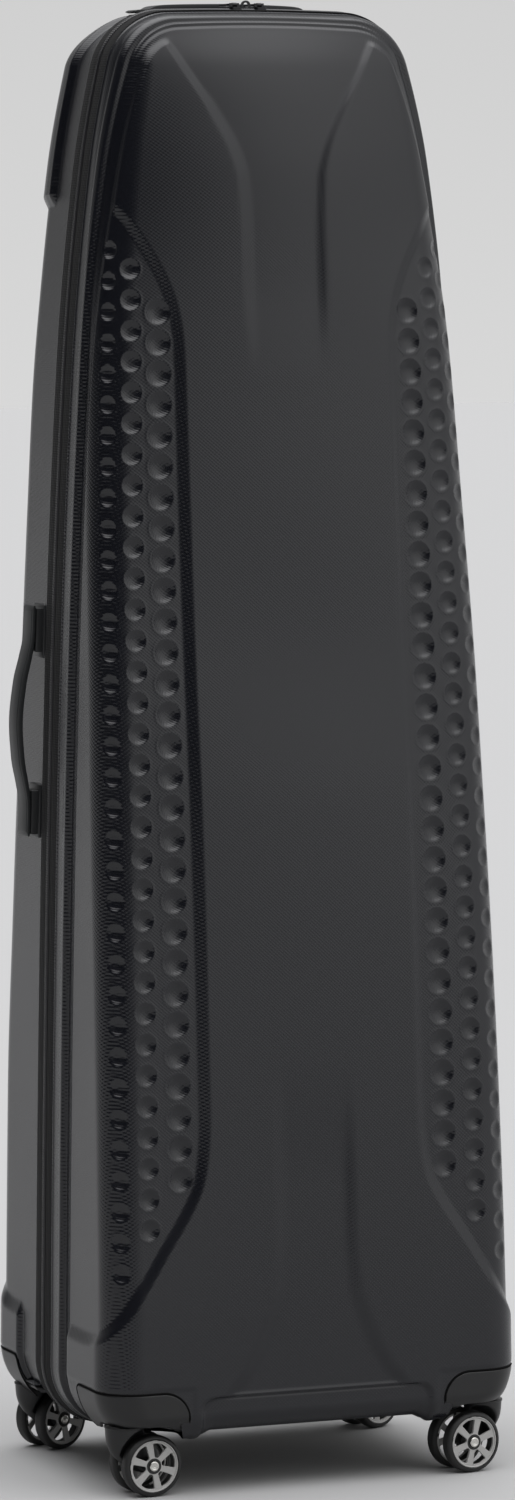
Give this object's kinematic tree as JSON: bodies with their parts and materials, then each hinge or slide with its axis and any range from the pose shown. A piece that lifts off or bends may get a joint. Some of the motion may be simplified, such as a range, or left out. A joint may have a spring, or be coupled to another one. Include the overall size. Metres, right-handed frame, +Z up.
{
  "type": "golf travel case",
  "caption": "Tall hard-shell golf travel case with a zipped clamshell lid, side and top handles, dimpled front and twin-wheel swivel casters.",
  "frame": {"origin": "on the floor, under the middle of the case", "axes": "+Z up, the lid towards -Y, the hinge side towards +X"},
  "size_m": [0.4192, 0.2965, 1.3258],
  "materials": {
    "polycarbonate": "satin, with a fine moulded texture",
    "corner_plastic": "satin",
    "fork_plastic": "satin",
    "hub_plastic": "metallic grey, satin",
    "rubber_tyre": "matt",
    "steel": "polished",
    "soft_grip": "matt",
    "handle_plastic": "satin",
    "zip_tape": "woven",
    "zip_coil": "satin",
    "zip_metal": "dark, satin",
    "lining": "woven",
    "webbing": "ribbed",
    "buckle_plastic": "satin",
    "foam": "fabric-covered foam"
  },
  "bodies": {
    "case": {"back_shell": "polycarbonate", "back_lining": "lining", "back_zip_tape": "zip_tape", "back_zip_coil": "zip_coil", "hinge_tape": "zip_tape", "side_handle_mounts": "handle_plastic", "top_handle_mounts": "handle_plastic", "lock_loop": "zip_metal", "packing_straps": "webbing", "strap_buckles": "buckle_plastic", "club_head_pad": "foam", "rear_left_bracket": "corner_plastic", "rear_right_bracket": "corner_plastic", "rear_bracket_screws": "steel"},
    "lid": {"front_shell": "polycarbonate", "front_lining": "lining", "front_zip_tape": "zip_tape", "front_zip_coil": "zip_coil", "lid_pocket": "lining", "front_left_bracket": "corner_plastic", "front_right_bracket": "corner_plastic", "front_bracket_screws": "steel"},
    "side_handle": {"side_handle_grip": "soft_grip", "side_handle_posts": "steel"},
    "top_handle": {"top_handle_grip": "soft_grip", "top_handle_posts": "steel"},
    "left_slider": {"zip_slider_left": "zip_metal"},
    "right_slider": {"zip_slider_right": "zip_metal"},
    "left_tab": {"pull_tab_left": "zip_metal"},
    "right_tab": {"pull_tab_right": "zip_metal"},
    "front_left_caster": {"front_left_fork": "fork_plastic", "front_left_king_pin": "steel", "front_left_axle": "steel"},
    "front_left_inner_wheel": {"front_left_inner_tyre": "rubber_tyre", "front_left_inner_hub": "hub_plastic"},
    "front_left_outer_wheel": {"front_left_outer_tyre": "rubber_tyre", "front_left_outer_hub": "hub_plastic"},
    "front_right_caster": {"front_right_fork": "fork_plastic", "front_right_king_pin": "steel", "front_right_axle": "steel"},
    "front_right_inner_wheel": {"front_right_inner_tyre": "rubber_tyre", "front_right_inner_hub": "hub_plastic"},
    "front_right_outer_wheel": {"front_right_outer_tyre": "rubber_tyre", "front_right_outer_hub": "hub_plastic"},
    "rear_left_caster": {"rear_left_fork": "fork_plastic", "rear_left_king_pin": "steel", "rear_left_axle": "steel"},
    "rear_left_inner_wheel": {"rear_left_inner_tyre": "rubber_tyre", "rear_left_inner_hub": "hub_plastic"},
    "rear_left_outer_wheel": {"rear_left_outer_tyre": "rubber_tyre", "rear_left_outer_hub": "hub_plastic"},
    "rear_right_caster": {"rear_right_fork": "fork_plastic", "rear_right_king_pin": "steel", "rear_right_axle": "steel"},
    "rear_right_inner_wheel": {"rear_right_inner_tyre": "rubber_tyre", "rear_right_inner_hub": "hub_plastic"},
    "rear_right_outer_wheel": {"rear_right_outer_tyre": "rubber_tyre", "rear_right_outer_hub": "hub_plastic"}
  },
  "joints": [
    {"name": "lid_hinge", "type": "hinge", "parent": "case", "child": "lid", "pos_m": [0.1995, 0.016, 0.5], "axis": [-0.025, 0, 0.9997], "range_deg": [0, 155]},
    {"name": "side_handle_pull", "type": "slide", "parent": "case", "child": "side_handle", "axis": [-0.9995, 0, 0.0305], "range_m": [0, 0.012], "stiffness_N_per_m": 600},
    {"name": "top_handle_pull", "type": "slide", "parent": "case", "child": "top_handle", "axis": [0, 0, 1], "range_m": [0, 0.015], "stiffness_N_per_m": 400},
    {"name": "left_zip_slide", "type": "slide", "parent": "case", "child": "left_slider", "axis": [1, 0, 0], "range_m": [-0.06, 0]},
    {"name": "right_zip_slide", "type": "slide", "parent": "case", "child": "right_slider", "axis": [1, 0, 0], "range_m": [0, 0.06]},
    {"name": "left_tab_swing", "type": "hinge", "parent": "left_slider", "child": "left_tab", "pos_m": [-0.012, 0.0184, 1.3219], "axis": [1, 0, 0], "range_deg": [0, 165]},
    {"name": "right_tab_swing", "type": "hinge", "parent": "right_slider", "child": "right_tab", "pos_m": [0.012, 0.0184, 1.3219], "axis": [1, 0, 0], "range_deg": [0, 165]},
    {"name": "front_left_swivel", "type": "hinge", "parent": "lid", "child": "front_left_caster", "pos_m": [-0.174, -0.122, 0.064], "axis": [0, 0, 1], "continuous": true},
    {"name": "front_left_inner_spin", "type": "hinge", "parent": "front_left_caster", "child": "front_left_inner_wheel", "pos_m": [-0.15344, -0.12074, 0.0278], "axis": [-0.061, 0.9981, 0], "continuous": true},
    {"name": "front_left_outer_spin", "type": "hinge", "parent": "front_left_caster", "child": "front_left_outer_wheel", "pos_m": [-0.15344, -0.12074, 0.0278], "axis": [-0.061, 0.9981, 0], "continuous": true},
    {"name": "front_right_swivel", "type": "hinge", "parent": "lid", "child": "front_right_caster", "pos_m": [0.174, -0.122, 0.064], "axis": [0, 0, 1], "continuous": true},
    {"name": "front_right_inner_spin", "type": "hinge", "parent": "front_right_caster", "child": "front_right_inner_wheel", "pos_m": [0.15363, -0.12504, 0.0278], "axis": [0.1478, -0.989, 0], "continuous": true},
    {"name": "front_right_outer_spin", "type": "hinge", "parent": "front_right_caster", "child": "front_right_outer_wheel", "pos_m": [0.15363, -0.12504, 0.0278], "axis": [0.1478, -0.989, 0], "continuous": true},
    {"name": "rear_left_swivel", "type": "hinge", "parent": "case", "child": "rear_left_caster", "pos_m": [-0.174, 0.11, 0.064], "axis": [0, 0, 1], "continuous": true},
    {"name": "rear_left_inner_spin", "type": "hinge", "parent": "rear_left_caster", "child": "rear_left_inner_wheel", "pos_m": [-0.15483, 0.11755, 0.0278], "axis": [-0.3665, 0.9304, 0], "continuous": true},
    {"name": "rear_left_outer_spin", "type": "hinge", "parent": "rear_left_caster", "child": "rear_left_outer_wheel", "pos_m": [-0.15483, 0.11755, 0.0278], "axis": [-0.3665, 0.9304, 0], "continuous": true},
    {"name": "rear_right_swivel", "type": "hinge", "parent": "case", "child": "rear_right_caster", "pos_m": [0.174, 0.11, 0.064], "axis": [0, 0, 1], "continuous": true},
    {"name": "rear_right_inner_spin", "type": "hinge", "parent": "rear_right_caster", "child": "rear_right_inner_wheel", "pos_m": [0.15504, 0.10195, 0.0278], "axis": [0.3907, -0.9205, 0], "continuous": true},
    {"name": "rear_right_outer_spin", "type": "hinge", "parent": "rear_right_caster", "child": "rear_right_outer_wheel", "pos_m": [0.15504, 0.10195, 0.0278], "axis": [0.3907, -0.9205, 0], "continuous": true}
  ]
}
